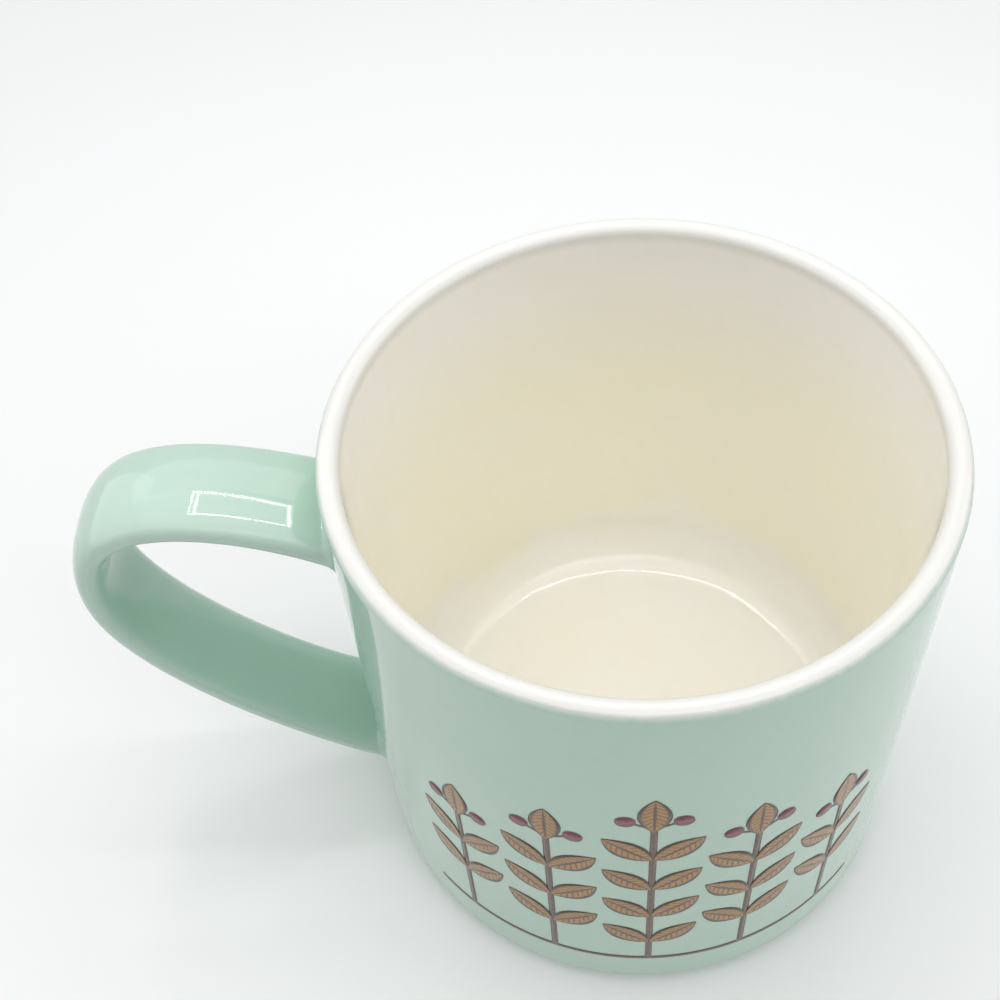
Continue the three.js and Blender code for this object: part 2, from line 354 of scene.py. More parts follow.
@dataclass(frozen=True)
class Bisque(Finish):
    """Bare fired clay: matte, warm white and finely grained."""

    clay: Colour = (0.740, 0.690, 0.600)
    dusty: Colour = (0.820, 0.780, 0.700)
    speck: Colour = (0.420, 0.340, 0.250)
    grain: float = 0.35
    relief: float = 0.5
    relief_depth: float = 0.05
    cloud_grain: float = 6.0
    cloud_window: Window = (0.35, 0.70)
    speck_grain: float = 0.8
    speck_window: Window = (0.70, 0.80)
    speck_share: float = 0.5
    roughness: float = 0.72
    roughness_spread: float = 0.15
    ior: float = 1.45

    def paint(self, bench: Bench) -> None:
        """Adds the clay's nodes."""
        place = bench.millimetres()
        grain = bench.noise(place, self.grain, FINE_DETAIL)
        cloud = bench.noise(place, self.cloud_grain)
        specks = bench.noise(place, self.speck_grain, SMOOTH_DETAIL).ramp(*self.speck_window)
        base = bench.mix(cloud.ramp(*self.cloud_window), self.clay, self.dusty)
        base = bench.mix(specks * self.speck_share, base, self.speck)
        rough = grain * self.roughness_spread + self.roughness
        normal = bench.bump(grain, self.relief, self.relief_depth)
        bench.surface(bench.principled(Base_Color=base, Roughness=rough, Normal=normal, IOR=self.ior))


@dataclass(frozen=True)
class Enamel(Finish):
    """Plain print enamel, slightly uneven in its cover."""

    body: Colour
    faded: Colour
    grain: float = 0.7
    fade_window: Window = (0.40, 0.75)
    fade_share: float = 0.6
    relief: float = 0.15
    relief_depth: float = 0.02
    roughness: float = 0.14
    roughness_spread: float = 0.08

    def paint(self, bench: Bench) -> None:
        """Adds the enamel's nodes."""
        place = bench.millimetres()
        cover = bench.noise(place, self.grain, FINE_DETAIL)
        base = bench.mix(cover.ramp(*self.fade_window) * self.fade_share, self.body, self.faded)
        base = self.draw(bench, base, cover)
        gloss = cover * self.roughness_spread + self.roughness
        normal = bench.bump(cover, self.relief, self.relief_depth)
        bench.surface(bench.principled(Base_Color=base, Roughness=gloss, Normal=normal, IOR=GLASS_IOR))

    def draw(self, bench: Bench, base: Shade, cover: Shade) -> Shade:
        """Returns the colour with what is drawn on it, which is nothing on a plain enamel."""
        return base


@dataclass(frozen=True)
class LeafEnamel(Enamel):
    """Ochre enamel with a dark outline, a midrib and slanting hatch lines, drawn on the leaf's own map."""

    grain: float = 0.6
    line: Colour = (0.085, 0.045, 0.030)
    outline_window: Window = (0.64, 0.80)
    outline_wobble: float = 0.25
    rib_window: Window = (0.16, 0.06)
    hatch_lines: float = 9.0
    hatch_slant: float = 1.6
    hatch_window: Window = (0.25, 0.75)
    hatch_wear: Window = (0.30, 0.55)
    hatch_share: float = 0.8

    def draw(self, bench: Bench, base: Shade, cover: Shade) -> Shade:
        """Draws the leaf's lines.

        Args:
            bench: The material's bench.
            base: The colour under the lines.
            cover: The unevenness of the ink.

        Returns:
            The colour with the lines on it.
        """
        leaf = bench.add("ShaderNodeUVMap", {"uv_map": LeafPrint.MAP_NAME})
        across = abs(bench.axis(leaf, "X") * 2.0 - 1.0)
        along = bench.axis(leaf, "Y")
        rim = (across + (cover - 0.5) * self.outline_wobble).ramp(*self.outline_window)
        rib = across.ramp(*self.rib_window)
        stripe = (along * self.hatch_lines + across * self.hatch_slant) * FULL_TURN
        hatch = bench.add("ShaderNodeMath", {"operation": "SINE"}, {0: stripe}).ramp(*self.hatch_window)
        worn = hatch * cover.ramp(*self.hatch_wear) * self.hatch_share
        return bench.mix(rim.max(rib).max(worn), base, self.line)


MINT = MintGlaze("mint_glaze")
CREAM = CreamGlaze("cream_glaze")
BISQUE = Bisque("bare_bisque")
BROWN_ENAMEL = Enamel("brown_enamel", (0.105, 0.055, 0.038), (0.165, 0.095, 0.065))
MAROON_ENAMEL = Enamel("maroon_enamel", (0.190, 0.045, 0.060), (0.290, 0.110, 0.115))
LEAF_ENAMEL = LeafEnamel("leaf_enamel", (0.390, 0.195, 0.045), (0.480, 0.270, 0.085))


# Meshes


class Pen:
    """Draws a profile of radius and height as a chain of edges in the XZ plane."""

    def __init__(self, mesh: bmesh.types.BMesh, radius: float, height: float) -> None:
        """Starts the profile at one point."""
        self.mesh = mesh
        self.tip = mesh.verts.new((radius, 0.0, height))

    def line(self, radius: float, height: float, pieces: int = 1) -> "Pen":
        """Draws a straight stretch.

        Args:
            radius: Radius at the far end.
            height: Height at the far end.
            pieces: Edges in the stretch.

        Returns:
            The pen, for the next stretch.
        """
        step = (Vector((radius, 0.0, height)) - self.tip.co) / pieces
        for _ in range(pieces):
            self.tip = bmesh.ops.extrude_vert_indiv(self.mesh, verts=[self.tip])["verts"][0]
            bmesh.ops.translate(self.mesh, verts=[self.tip], vec=step)
        return self

    def arc(self, radius: float, height: float, degrees: float, steps: int) -> "Pen":
        """Draws a round stretch about a centre.

        Args:
            radius: Radius of the centre.
            height: Height of the centre.
            degrees: Turn, positive from outwards to upwards.
            steps: Edges in the stretch.

        Returns:
            The pen, for the next stretch.
        """
        turned = bmesh.ops.spin(
            self.mesh,
            geom=[self.tip],
            cent=(radius, 0.0, height),
            axis=(0.0, -1.0, 0.0),
            angle=math.radians(degrees),
            steps=steps,
        )
        self.tip = next(item for item in turned["geom_last"] if isinstance(item, bmesh.types.BMVert))
        return self


def revolve(mesh: bmesh.types.BMesh, segments: int) -> None:
    """Turns the profile about the cup's axis and closes its seam and poles."""
    bmesh.ops.spin(
        mesh,
        geom=mesh.verts[:] + mesh.edges[:],
        cent=(0.0, 0.0, 0.0),
        axis=(0.0, 0.0, 1.0),
        angle=FULL_TURN,
        steps=segments,
        use_merge=True,
    )
    bmesh.ops.remove_doubles(mesh, verts=mesh.verts[:], dist=MERGE_DISTANCE)
    bmesh.ops.recalc_face_normals(mesh, faces=mesh.faces[:])


@dataclass(frozen=True)
class Cup:
    """Sizes of the cup on its glazed surfaces, in millimetres."""

    rim_radius: float = 46.0
    height: float = 93.0
    wall: float = 3.4
    floor: float = 6.5
    floor_fillet: float = 9.0
    bottom_edge: float = 3.5
    foot_inset: float = 6.5
    foot_width: float = 4.0
    foot_height: float = 1.2
    foot_bevel: float = 0.5
    recess: float = 2.0
    glaze: float = 0.4
    fit_gap: float = 0.1
    seam_degrees: float = 47.0
    seam_wander: float = 5.0
    seam_reach: float = 27.0
    seam_waves: float = 9.0
    seam_ripples: float = 31.0
    ripple_share: float = 0.6
    overlap_degrees: float = 9.0
    overlap_depth: float = 0.12
    segments: int = 128

    @property
    def inner_radius(self) -> float:
        """Radius inside the wall."""
        return self.rim_radius - self.wall

    @property
    def lip_radius(self) -> float:
        """Radius of the rounded lip."""
        return self.wall / 2.0

    @property
    def lip_centre(self) -> tuple[float, float]:
        """Centre of the rounded lip in radius and height."""
        return self.rim_radius - self.lip_radius, self.height - self.lip_radius

    @property
    def fillet_centre(self) -> tuple[float, float]:
        """Centre of the floor's fillet in radius and height."""
        return self.inner_radius - self.floor_fillet, self.floor + self.floor_fillet

    @property
    def bottom_centre(self) -> tuple[float, float]:
        """Centre of the rounded bottom edge in radius and height."""
        return self.rim_radius - self.bottom_edge, self.foot_height + self.bottom_edge

    @property
    def foot_outer(self) -> float:
        """Outer radius of the foot ring."""
        return self.rim_radius - self.foot_inset

    @property
    def foot_inner(self) -> float:
        """Inner radius of the foot ring."""
        return self.foot_outer - self.foot_width

    @property
    def skin(self) -> float:
        """Depth of the clay under the glazed surface."""
        return self.glaze + self.fit_gap

    def lip_point(self, degrees: float, depth: float) -> tuple[float, float]:
        """Returns a point of the lip in radius and height, at a depth under its surface."""
        angle = math.radians(degrees)
        radius, height = self.lip_centre
        reach = self.lip_radius - depth
        return radius + reach * math.cos(angle), height + reach * math.sin(angle)

    def wander_seam(self, mesh: bmesh.types.BMesh) -> None:
        """Lets the glaze seam wander a little round the lip.

        Args:
            mesh: A turned coat whose edge lies on the lip.
        """
        radius, height = self.lip_centre
        for vert in mesh.verts:
            out = math.hypot(vert.co.x, vert.co.y)
            rise = math.degrees(math.atan2(vert.co.z - height, out - radius))
            near = 1.0 - abs(rise - self.seam_degrees) / self.seam_reach
            if vert.co.z < height or near <= 0.0:
                continue
            turn = Vector((vert.co.x, vert.co.y, 0.0)).normalized()
            ripple = noise.noise(turn * self.seam_ripples)
            sway = noise.noise(turn * self.seam_waves) + self.ripple_share * ripple
            depth = self.lip_radius - math.hypot(vert.co.z - height, out - radius)
            new_radius, new_height = self.lip_point(rise + sway * near * self.seam_wander, depth)
            vert.co = turn * new_radius + Vector((0.0, 0.0, new_height))


CUP = Cup()


@dataclass
class Piece:
    """One finished piece of the mug, with its record slot, finishes and the CAD nodes it stands for."""

    name: str
    slot: str
    finishes: Sequence[Finish]
    stands_for: Sequence[str] = ()
    shell: float = 0.0
    piece: Optional[bpy.types.Object] = field(default=None, init=False)

    def model(self, mesh: bmesh.types.BMesh) -> None:
        """Builds the piece in millimetres about the cup's axis; each piece has its own way."""
        raise NotImplementedError

    def build(self) -> "Piece":
        """Makes the piece's object, in place in the shared frame.

        Returns:
            The piece itself.
        """
        mesh = bmesh.new()
        self.model(mesh)
        low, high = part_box("cup_body")
        axis = ((low.x + high.x) / 2.0, (low.y + high.y) / 2.0, 0.0)
        bmesh.ops.scale(mesh, verts=mesh.verts[:], vec=(MM, MM, MM))
        bmesh.ops.translate(mesh, verts=mesh.verts[:], vec=axis)
        data = bpy.data.meshes.new(self.name)
        for face in mesh.faces:
            face.smooth = True
        mesh.to_mesh(data)
        mesh.free()
        self.piece = bpy.data.objects.new(self.name, data)
        bpy.context.scene.collection.objects.link(self.piece)
        if self.shell:
            solidify = self.piece.modifiers.new("coat", "SOLIDIFY")
            solidify.thickness = self.shell * MM
            solidify.offset = -1.0
            solidify.use_even_offset = True
        return self

    def dress(self) -> None:
        """Gives the piece its finishes and its place in the frame."""
        for finish in self.finishes:
            self.piece.data.materials.append(finish.material())
        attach(self.piece, "root")
        if self.stands_for:
            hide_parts(*self.stands_for)
        log.info("%s: %d faces, %s", self.name, len(self.piece.data.polygons), self.slot)


@dataclass
class ClayCup(Piece):
    """The fired clay cup, of which the bare foot ring shows."""

    flat_steps: int = 4
    bevel_steps: int = 4
    foot_steps: int = 2
    bottom_steps: int = 6
    wall_steps: int = 8
    lip_steps: int = 10
    fillet_steps: int = 8

    def model(self, mesh: bmesh.types.BMesh) -> None:
        """Turns the clay's closed profile."""
        skin = CUP.skin
        ceiling = CUP.recess + skin
        bevel = CUP.foot_bevel
        centre_radius, centre_height = CUP.lip_centre
        pen = Pen(mesh, 0.0, ceiling)
        pen.line(CUP.foot_inner, ceiling, self.flat_steps).line(CUP.foot_inner, bevel)
        pen.arc(CUP.foot_inner + bevel, bevel, RIGHT_ANGLE, self.bevel_steps)
        pen.line(CUP.foot_outer - bevel, 0.0, self.foot_steps)
        pen.arc(CUP.foot_outer - bevel, bevel, RIGHT_ANGLE, self.bevel_steps)
        pen.line(CUP.foot_outer, CUP.foot_height + skin)
        pen.line(CUP.bottom_centre[0], CUP.foot_height + skin)
        pen.arc(*CUP.bottom_centre, RIGHT_ANGLE, self.bottom_steps)
        pen.line(CUP.rim_radius - skin, centre_height, self.wall_steps)
        pen.arc(centre_radius, centre_height, 2.0 * RIGHT_ANGLE, self.lip_steps)
        pen.line(CUP.inner_radius + skin, CUP.fillet_centre[1], self.wall_steps)
        pen.arc(*CUP.fillet_centre, -RIGHT_ANGLE, self.fillet_steps)
        pen.line(0.0, CUP.floor - skin, self.flat_steps)
        revolve(mesh, CUP.segments)


@dataclass
class LinerCoat(Piece):
    """Cream glaze over the floor, up the inside and over the lip, where it laps on to the green."""

    floor_steps: int = 8
    fillet_steps: int = 16
    wall_steps: int = 36
    lip_steps: int = 24
    under_floor_steps: int = 4
    under_fillet_steps: int = 8
    under_wall_steps: int = 8
    under_lip_steps: int = 12

    def model(self, mesh: bmesh.types.BMesh) -> None:
        """Turns the coat's closed profile."""
        centre_radius, centre_height = CUP.lip_centre
        over = 2.0 * RIGHT_ANGLE - CUP.seam_degrees
        pen = Pen(mesh, 0.0, CUP.floor)
        pen.line(CUP.fillet_centre[0], CUP.floor, self.floor_steps)
        pen.arc(*CUP.fillet_centre, RIGHT_ANGLE, self.fillet_steps)
        pen.line(CUP.inner_radius, centre_height, self.wall_steps)
        pen.arc(centre_radius, centre_height, -over, self.lip_steps)
        for share in (0.5, 1.0):
            rise = CUP.seam_degrees - share * CUP.overlap_degrees
            pen.line(*CUP.lip_point(rise, share * CUP.overlap_depth))
        pen.line(*CUP.lip_point(CUP.seam_degrees, CUP.glaze))
        pen.arc(centre_radius, centre_height, over, self.under_lip_steps)
        pen.line(CUP.inner_radius + CUP.glaze, CUP.fillet_centre[1], self.under_wall_steps)
        pen.arc(*CUP.fillet_centre, -RIGHT_ANGLE, self.under_fillet_steps)
        pen.line(0.0, CUP.floor - CUP.glaze, self.under_floor_steps)
        revolve(mesh, CUP.segments)
        CUP.wander_seam(mesh)


@dataclass
class BaseCoat(Piece):
    """Green glaze inside the foot ring, drawn down a little where it meets the ring."""

    meniscus: float = 1.2
    face_steps: int = 8
    meniscus_steps: int = 8
    under_steps: int = 4

    def model(self, mesh: bmesh.types.BMesh) -> None:
        """Turns the coat's closed profile."""
        edge = CUP.foot_inner - CUP.fit_gap / 2.0
        top = CUP.recess + CUP.glaze
        pen = Pen(mesh, 0.0, CUP.recess)
        pen.line(edge - self.meniscus, CUP.recess, self.face_steps)
        pen.arc(edge - self.meniscus, CUP.recess - self.meniscus, -RIGHT_ANGLE, self.meniscus_steps)
        pen.line(edge, top).line(0.0, top, self.under_steps)
        revolve(mesh, CUP.segments)


class Joint(Enum):
    """The strap's two ends."""

    UPPER = 1
    LOWER = -1


@dataclass(frozen=True)
class Strap:
    """The handle strap: centreline, section and fillets, in millimetres."""

    upper_drop: float = 16.3
    lower_height: float = 16.7
    projection: float = 41.8
    knee_drop: float = 27.5
    upper_rise: float = 27.5
    lower_rise: float = 20.3
    upper_pull: float = 22.8
    knee_pull_up: float = 20.8
    knee_pull_down: float = 20.4
    lower_pull: float = 10.8
    thickness: float = 5.6
    width: float = 17.1
    joint_width: float = 18.4
    flare: float = 0.3
    flare_reach: float = 14.0
    outer_crown: float = 2.3
    inner_crown: float = 3.2
    fillet: float = 1.4
    tail: float = 3.4
    sides: int = 48
    fillet_rings: int = 8
    blend_rings: int = 7
    blend_power: float = 1.5
    pool_shift: float = 0.25
    ring_pitch: float = 1.6
    path_samples: int = 240
    section_samples: int = 1440
    search_steps: int = 40
    tangent_reach: float = 0.4

    def centreline(self) -> list[Vector]:
        """Returns the centreline's points, from inside the wall round the knee to inside the wall again."""
        upper = Vector((-CUP.rim_radius, 0.0, CUP.height - self.upper_drop))
        lower = Vector((-CUP.rim_radius, 0.0, self.lower_height))
        knee_reach = CUP.rim_radius + self.projection - self.thickness / 2.0
        knee = Vector((-knee_reach, 0.0, CUP.height - self.knee_drop))
        out_upper = self.leaving(self.upper_rise)
        out_lower = self.leaving(self.lower_rise)
        up = Vector((0.0, 0.0, 1.0))
        upper_pull = upper + out_upper * self.upper_pull
        lower_pull = lower + out_lower * self.lower_pull
        above_knee = knee + up * self.knee_pull_up
        below_knee = knee - up * self.knee_pull_down
        first = interpolate_bezier(upper, upper_pull, above_knee, knee, self.path_samples)
        second = interpolate_bezier(knee, below_knee, lower_pull, lower, self.path_samples)
        return [upper - out_upper * self.tail, *first, *second[1:], lower - out_lower * self.tail]

    @staticmethod
    def leaving(rise: float) -> Vector:
        """Returns the direction in which the strap leaves the wall."""
        return Vector((-math.cos(math.radians(rise)), 0.0, math.sin(math.radians(rise))))


class StrapSurface:
    """Places points on the strap's glazed surface by side and by distance along it."""

    def __init__(self, strap: Strap) -> None:
        """Measures the centreline and spreads the section's sides evenly."""
        self.strap = strap
        self.points = strap.centreline()
        self.marks = [0.0]
        for here, there in zip(self.points, self.points[1:]):
            self.marks.append(self.marks[-1] + (there - here).length)
        self.length = self.marks[-1]
        self.angles = self.even_angles()

    def section(self, angle: float) -> tuple[float, float]:
        """Returns a section point, in half widths across and half thicknesses outward."""
        crown = self.strap.outer_crown if math.sin(angle) > 0.0 else self.strap.inner_crown
        across, outward = math.cos(angle), math.sin(angle)
        return (
            math.copysign(abs(across) ** (2.0 / crown), across),
            math.copysign(abs(outward) ** (2.0 / crown), outward),
        )

    def even_angles(self) -> list[float]:
        """Returns the angles that put the sides at even distances round the section."""
        count = self.strap.section_samples
        fine = [FULL_TURN * i / count for i in range(count + 1)]
        places = [self.section(angle) for angle in fine]
        run = [0.0]
        for (a, b), (c, d) in zip(places, places[1:]):
            run.append(run[-1] + math.hypot((c - a) * self.strap.width, (d - b) * self.strap.thickness))
        angles = []
        i = 0
        for side in range(self.strap.sides):
            target = run[-1] * side / self.strap.sides
            while run[i + 1] < target:
                i += 1
            angles.append(fine[i] + (fine[i + 1] - fine[i]) * (target - run[i]) / (run[i + 1] - run[i]))
        return angles

    def middle(self, distance: float) -> Vector:
        """Returns the centreline's point at a distance along it."""
        low = min(max(bisect_right(self.marks, distance) - 1, 0), len(self.marks) - 2)
        span = self.marks[low + 1] - self.marks[low]
        return self.points[low].lerp(self.points[low + 1], (distance - self.marks[low]) / span)

    def station(self, distance: float) -> tuple[Vector, Vector]:
        """Returns the centreline's point and direction at a distance along it."""
        behind = max(distance - self.strap.tangent_reach, 0.0)
        ahead = min(distance + self.strap.tangent_reach, self.length)
        return self.middle(distance), (self.middle(ahead) - self.middle(behind)).normalized()

    def skin(self, side: int, distance: float) -> Vector:
        """Returns the strap's surface at one side and distance, flared towards the wall."""
        centre, tangent = self.station(distance)
        outward = Vector((tangent.z, 0.0, -tangent.x))
        across, out = self.section(self.angles[side])
        from_middle = 2.0 * distance / self.length - 1.0
        width = self.strap.width + (self.strap.joint_width - self.strap.width) * from_middle ** 2
        half = Vector((width / 2.0, self.strap.thickness / 2.0))
        point = centre + Vector((0.0, across * half.x, 0.0)) + outward * (out * half.y)
        clear = self.wall_distance(point)
        grow = self.strap.flare * min(max(1.0 - clear / self.strap.flare_reach, 0.0), 1.0) ** 2
        return centre + Vector((0.0, across * (half.x + grow), 0.0)) + outward * (out * (half.y + grow))

    @staticmethod
    def wall_distance(point: Vector) -> float:
        """Returns how far a point stands off the cup's wall."""
        return math.hypot(point.x, point.y) - CUP.rim_radius

    def away(self, side: int, distance: float) -> Vector:
        """Returns the direction along the wall that points away from the strap at one side."""
        here = self.skin(side, distance)
        before = self.skin(side - 1, distance)
        after = self.skin((side + 1) % self.strap.sides, distance)
        _, tangent = self.station(distance)
        normal = (after - before).cross(tangent)
        centre, _ = self.station(distance)
        if normal.dot(here - centre) < 0.0:
            normal.negate()
        radial = Vector((here.x, here.y, 0.0)).normalized()
        return (normal - radial * normal.dot(radial)).normalized()

    def reach_of(self, side: int, clear: float, joint: Joint) -> float:
        """Finds the distance along the strap at which one side stands a given way off the wall.

        Args:
            side: The side of the section.
            clear: The wanted distance from the wall.
            joint: The end of the strap that is looked at.

        Returns:
            The distance along the centreline.
        """
        near, far = 0.0, self.strap.tail + self.strap.flare_reach
        for _ in range(self.strap.search_steps):
            middle = (near + far) / 2.0
            along = middle if joint is Joint.UPPER else self.length - middle
            if self.wall_distance(self.skin(side, along)) < clear:
                near = middle
            else:
                far = middle
        return near if joint is Joint.UPPER else self.length - near

    def fillet_point(self, side: int, share: float, joint: Joint) -> tuple[Vector, float]:
        """Places a point of the fillet that runs from the wall to the strap.

        Args:
            side: The side of the section.
            share: 0 on the wall, 1 where the fillet meets the strap.
            joint: The end of the strap.

        Returns:
            The point, and its distance along the strap.
        """
        angle = share * math.pi / 2.0
        clear = self.strap.fillet * (1.0 - math.cos(angle))
        rise = self.strap.fillet * (1.0 - math.sin(angle))
        along = self.reach_of(side, clear, joint)
        point = self.skin(side, along) + self.away(side, along) * rise
        scale = (CUP.rim_radius + clear) / math.hypot(point.x, point.y)
        return Vector((point.x * scale, point.y * scale, point.z)), along

    def rings(self) -> list[tuple[list[Vector], float]]:
        """Returns the strap's rings from joint to joint, each with its share of pooled glaze."""
        strap = self.strap
        sides = range(strap.sides)

        def end_rings(joint: Joint, target: float) -> list[tuple[list[Vector], float]]:
            """Returns the rings of one end, from the wall outwards."""
            made = []
            for k in range(strap.fillet_rings + 1):
                share = k / strap.fillet_rings
                placed = [self.fillet_point(side, share, joint) for side in sides]
                pooled = math.sin(math.pi * min(share + strap.pool_shift, 1.0))
                made.append(([point for point, _ in placed], pooled))
                starts = [along for _, along in placed]
            for m in range(1, strap.blend_rings):
                share = (m / strap.blend_rings) ** strap.blend_power
                ring = [self.skin(side, starts[side] + (target - starts[side]) * share) for side in sides]
                made.append((ring, 0.0))
            return made

        first = strap.tail + strap.flare_reach
        last = self.length - first
        spans = math.ceil((last - first) / strap.ring_pitch)
        middle = []
        for i in range(spans + 1):
            along = first + (last - first) * i / spans
            middle.append(([self.skin(side, along) for side in sides], 0.0))
        return end_rings(Joint.UPPER, first) + middle + end_rings(Joint.LOWER, last)[::-1]


@dataclass
class OuterCoat(Piece):
    """Green glaze outside: one unbroken coat over the wall, both joints and the strap."""

    # Vertex layer of glaze pooled at the joints, and of painted shade on the strap's inner face.
    POOL_AND_SHADE = "pool_and_shade"
    THIN = "thin"

    strap: Strap = field(default_factory=Strap)
    hole_columns: int = 12
    hole_rows: int = 12
    hole_height: float = 18.0
    lower_hole: float = 7.7
    upper_hole: float = 67.7
    # Painted shade on the strap's inner face, the face towards the cup.
    inner_face_shade: float = 0.8
    edge_power: int = 6
    foot_steps: int = 2
    bottom_steps: int = 12
    middle_rows: int = 17
    lip_steps: int = 10

    def model(self, mesh: bmesh.types.BMesh) -> None:
        """Turns the wall, opens it at the joints and draws the strap from one opening to the other."""
        pool_and_shade = mesh.verts.layers.float.new(self.POOL_AND_SHADE)
        thin = mesh.verts.layers.float.new(self.THIN)
        side_of = mesh.verts.layers.int.new("side")
        self.wall(mesh)
        upper = self.open_wall(mesh, self.upper_hole)
        lower = self.open_wall(mesh, self.lower_hole)
        surface = StrapSurface(self.strap)
        ring = bmesh.ops.create_circle(mesh, segments=self.strap.sides, radius=1.0)["verts"]
        for side, vert in enumerate(ring):
            vert[side_of] = side
        edges = sorted({edge for vert in ring for edge in vert.link_edges}, key=lambda edge: edge.index)
        rings = surface.rings()
        for number, (points, pooled) in enumerate(rings):
            if number:
                grown = bmesh.ops.extrude_edge_only(mesh, edges=edges)["geom"]
                ring = [item for item in grown if isinstance(item, bmesh.types.BMVert)]
                new = set(ring)
                edges = [
                    item for item in grown
                    if isinstance(item, bmesh.types.BMEdge) and set(item.verts) <= new
                ]
            for vert in ring:
                side = vert[side_of]
                vert.co = points[side]
                across, out = surface.section(surface.angles[side])
                # Glaze pooled at the joints, and painted shade on the strap's inner face.
                vert[pool_and_shade] = max(pooled, self.inner_face_shade * max(-out, 0.0))
                vert[thin] = (1.0 - pooled) * abs(across) ** self.edge_power
            if not number:
                bmesh.ops.bridge_loops(mesh, edges=upper + edges)
        bmesh.ops.bridge_loops(mesh, edges=lower + edges)
        bmesh.ops.recalc_face_normals(mesh, faces=mesh.faces[:])
        mesh.verts.layers.int.remove(mesh.verts.layers.int["side"])

    def wall(self, mesh: bmesh.types.BMesh) -> None:
        """Turns the wall's open profile from the foot to under the cream's edge."""
        centre_radius, centre_height = CUP.lip_centre
        pen = Pen(mesh, CUP.foot_outer + CUP.fit_gap, CUP.foot_height)
        pen.line(CUP.bottom_centre[0], CUP.foot_height, self.foot_steps)
        pen.arc(*CUP.bottom_centre, RIGHT_ANGLE, self.bottom_steps)
        pen.line(CUP.rim_radius, self.lower_hole)
        pen.line(CUP.rim_radius, self.lower_hole + self.hole_height, self.hole_rows)
        pen.line(CUP.rim_radius, self.upper_hole, self.middle_rows)
        pen.line(CUP.rim_radius, self.upper_hole + self.hole_height, self.hole_rows)
        pen.line(CUP.rim_radius, centre_height)
        pen.arc(centre_radius, centre_height, CUP.seam_degrees, self.lip_steps)
        for share in (0.5, 1.0):
            rise = CUP.seam_degrees + share * CUP.overlap_degrees
            pen.line(*CUP.lip_point(rise, share * CUP.overlap_depth))
        revolve(mesh, CUP.segments)
        CUP.wander_seam(mesh)

    def open_wall(self, mesh: bmesh.types.BMesh, bottom: float) -> list[bmesh.types.BMEdge]:
        """Takes the wall's faces out where a joint goes.

        Args:
            mesh: The turned wall.
            bottom: Height of the opening's lower edge.

        Returns:
            The edges round the opening.
        """
        half = FULL_TURN * self.hole_columns / CUP.segments / 2.0
        inside = []
        for face in mesh.faces:
            middle = face.calc_center_median()
            turn = abs(math.atan2(middle.y, -middle.x))
            if turn < half and bottom < middle.z < bottom + self.hole_height and middle.x < 0.0:
                inside.append(face)
        rim = {edge for face in inside for edge in face.edges if not set(edge.link_faces) <= set(inside)}
        bmesh.ops.delete(mesh, geom=inside, context="FACES")
        return sorted(rim, key=lambda edge: edge.index)


class Ink(Enum):
    """The print's enamels, by their place among its finishes and its layers."""

    STEM = 0
    LEAF = 1
    BERRY = 2


